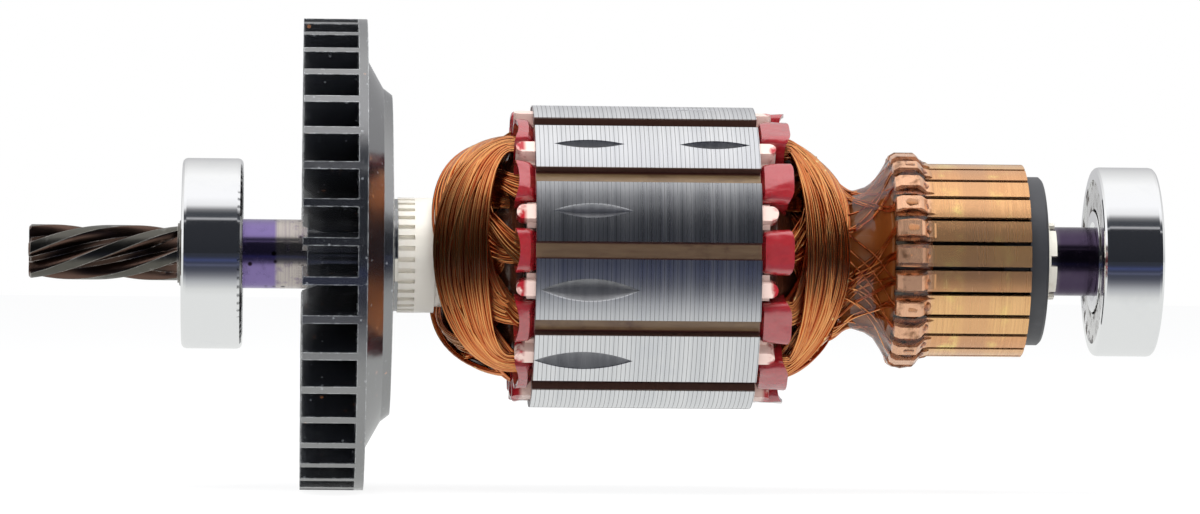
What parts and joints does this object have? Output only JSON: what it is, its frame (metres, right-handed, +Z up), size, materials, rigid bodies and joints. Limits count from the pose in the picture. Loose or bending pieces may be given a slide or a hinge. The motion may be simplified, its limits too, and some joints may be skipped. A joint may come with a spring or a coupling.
{
  "type": "motor armature",
  "caption": "Wound armature of a universal motor, with a cooling fan, a copper commutator, a helical pinion and a ball bearing at each end.",
  "frame": {"origin": "centre of the drive-end bearing, on the axis of rotation", "axes": "+X along the axis of rotation from the pinion to the commutator, +Z up, -Y towards the side that shows the widest wire bundle of the winding"},
  "size_m": [0.1315, 0.0545, 0.0545],
  "materials": {
    "shaft_steel": "ground and hardened steel, tinted violet by heat beside the bearings, dark brown on the pinion",
    "fan_plastic": "satin black moulded plastic",
    "core_steel": "bright turned edges of stacked electrical steel sheets",
    "insulator_plastic": "ivory moulded plastic",
    "liner": "varnished insulating paper, glossy red",
    "wedge": "varnished tan fibre",
    "resin": "amber resin over copper wire",
    "hub_moulding": "black phenolic moulding",
    "bush_plastic": "ivory plastic",
    "ring_steel": "ground and polished bearing steel",
    "ball_steel": "polished steel",
    "cage": "plain machined brass",
    "shield_steel": "pressed sheet steel",
    "winding_wire": "enamelled copper wire under varnish",
    "bar_copper": "turned copper, darkened along the brush track"
  },
  "bodies": {
    "drive_bearing_housing_side": {"drive_bearing_outer_ring": "ring_steel", "drive_bearing_shield_1": "shield_steel", "drive_bearing_shield_2": "shield_steel"},
    "rotor": {"shaft": "shaft_steel", "fan": "fan_plastic", "lamination_core": "core_steel", "drive_end_insulator": "insulator_plastic", "commutator_end_insulator": "insulator_plastic", "slot_liners": "liner", "slot_wedges": "wedge", "winding_leads": "resin", "commutator_hub": "hub_moulding", "insulating_bush": "bush_plastic", "coil_01": "winding_wire", "coil_02": "winding_wire", "coil_03": "winding_wire", "coil_04": "winding_wire", "coil_05": "winding_wire", "coil_06": "winding_wire", "coil_07": "winding_wire", "coil_08": "winding_wire", "coil_09": "winding_wire", "coil_10": "winding_wire", "coil_11": "winding_wire", "coil_12": "winding_wire", "commutator_bar_01": "bar_copper", "commutator_bar_02": "bar_copper", "commutator_bar_03": "bar_copper", "commutator_bar_04": "bar_copper", "commutator_bar_05": "bar_copper", "commutator_bar_06": "bar_copper", "commutator_bar_07": "bar_copper", "commutator_bar_08": "bar_copper", "commutator_bar_09": "bar_copper", "commutator_bar_10": "bar_copper", "commutator_bar_11": "bar_copper", "commutator_bar_12": "bar_copper", "commutator_bar_13": "bar_copper", "commutator_bar_14": "bar_copper", "commutator_bar_15": "bar_copper", "commutator_bar_16": "bar_copper", "commutator_bar_17": "bar_copper", "commutator_bar_18": "bar_copper", "commutator_bar_19": "bar_copper", "commutator_bar_20": "bar_copper", "commutator_bar_21": "bar_copper", "commutator_bar_22": "bar_copper", "commutator_bar_23": "bar_copper", "commutator_bar_24": "bar_copper", "drive_bearing_inner_ring": "ring_steel", "commutator_bearing_inner_ring": "ring_steel"},
    "drive_bearing_ball_set": {"drive_bearing_cage": "cage", "drive_bearing_balls": "ball_steel"},
    "commutator_bearing_housing_side": {"commutator_bearing_outer_ring": "ring_steel", "commutator_bearing_shield_1": "shield_steel", "commutator_bearing_shield_2": "shield_steel"},
    "commutator_bearing_ball_set": {"commutator_bearing_cage": "cage", "commutator_bearing_balls": "ball_steel"}
  },
  "joints": [
    {"name": "rotor_spin", "type": "hinge", "parent": "drive_bearing_housing_side", "child": "rotor", "pos_m": [0, 0, 0], "axis": [1, 0, 0], "continuous": true},
    {"name": "drive_bearing_ball_spin", "type": "hinge", "parent": "drive_bearing_housing_side", "child": "drive_bearing_ball_set", "pos_m": [0, 0, 0], "axis": [1, 0, 0], "continuous": true},
    {"name": "commutator_bearing_spin", "type": "hinge", "parent": "rotor", "child": "commutator_bearing_housing_side", "pos_m": [0.1058, 0, 0], "axis": [1, 0, 0], "continuous": true},
    {"name": "commutator_bearing_ball_spin", "type": "hinge", "parent": "rotor", "child": "commutator_bearing_ball_set", "pos_m": [0.1058, 0, 0], "axis": [1, 0, 0], "continuous": true}
  ],
  "couplings": [
    {"joint": "drive_bearing_ball_spin", "follows": "rotor_spin", "ratio": 0.36767},
    {"joint": "commutator_bearing_ball_spin", "follows": "commutator_bearing_spin", "ratio": 0.63233}
  ]
}
